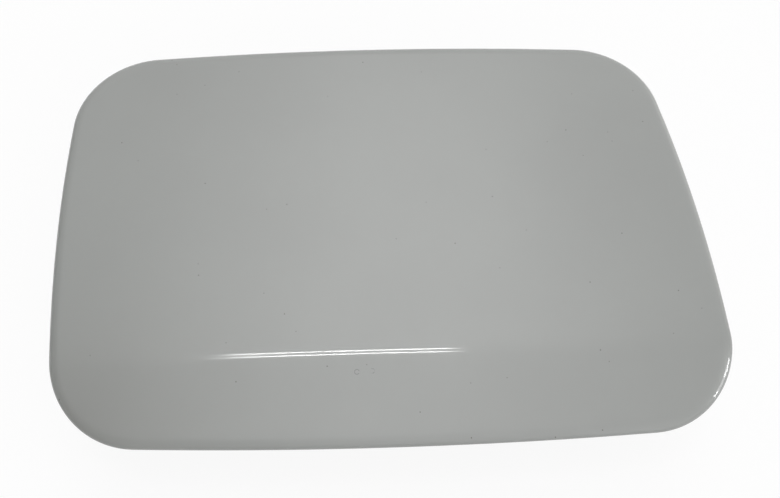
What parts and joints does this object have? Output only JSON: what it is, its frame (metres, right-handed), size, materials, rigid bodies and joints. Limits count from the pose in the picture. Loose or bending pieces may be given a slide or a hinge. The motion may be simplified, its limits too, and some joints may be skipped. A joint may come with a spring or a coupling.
{
  "type": "fuel door",
  "caption": "Flush car fuel door: crowned, creased and hemmed steel panel with a pressed inner panel, latch striker, cap holder, rubber stops and a sprung side hinge on a bolted base",
  "frame": {"origin": "centre of the two bolt holes, on the underside of the hinge base's foot", "axes": "+X from the hinge edge to the latch edge, +Y from the creased edge to the plain edge, +Z out of the painted face"},
  "size_m": [0.2078, 0.1394, 0.044],
  "materials": {
    "body_paint": "grey gloss paint under clear coat",
    "inner_paint": "thinner satin coat of the same grey",
    "sealer": "painted-over seam sealer",
    "mastic": "dull soft mastic",
    "black_coat": "satin black dip coat on pressed steel",
    "zinc": "clear zinc plating",
    "bush_plastic": "natural white bearing plastic",
    "holder_plastic": "fine-grained black plastic",
    "rubber": "matt black rubber",
    "spring_steel": "oiled spring wire"
  },
  "bodies": {
    "hinge": {"hinge_base": "black_coat", "hinge_pin": "zinc", "pin_washer": "zinc", "pin_clip": "spring_steel", "spring_sleeve": "bush_plastic", "torsion_spring": "spring_steel"},
    "door": {"outer_panel": "body_paint", "inner_panel": "inner_paint", "hem_sealer": "sealer", "mastic_dabs": "mastic", "hinge_reinforcement": "black_coat", "striker_reinforcement": "black_coat", "hinge_arm": "black_coat", "arm_screws": "zinc", "weld_nuts": "zinc", "bush_upper": "bush_plastic", "bush_lower": "bush_plastic", "striker": "zinc", "striker_rivets": "zinc", "cap_holder": "holder_plastic", "bump_stop_upper": "rubber", "bump_stop_lower": "rubber"}
  },
  "joints": [
    {"name": "door_hinge", "type": "hinge", "parent": "hinge", "child": "door", "pos_m": [-0.02, 0, 0.027], "axis": [0, -1, 0], "range_deg": [0, 95], "stiffness_Nm_per_rad": 0.22, "springref_deg": -20.05, "deforming": ["torsion_spring"]}
  ]
}
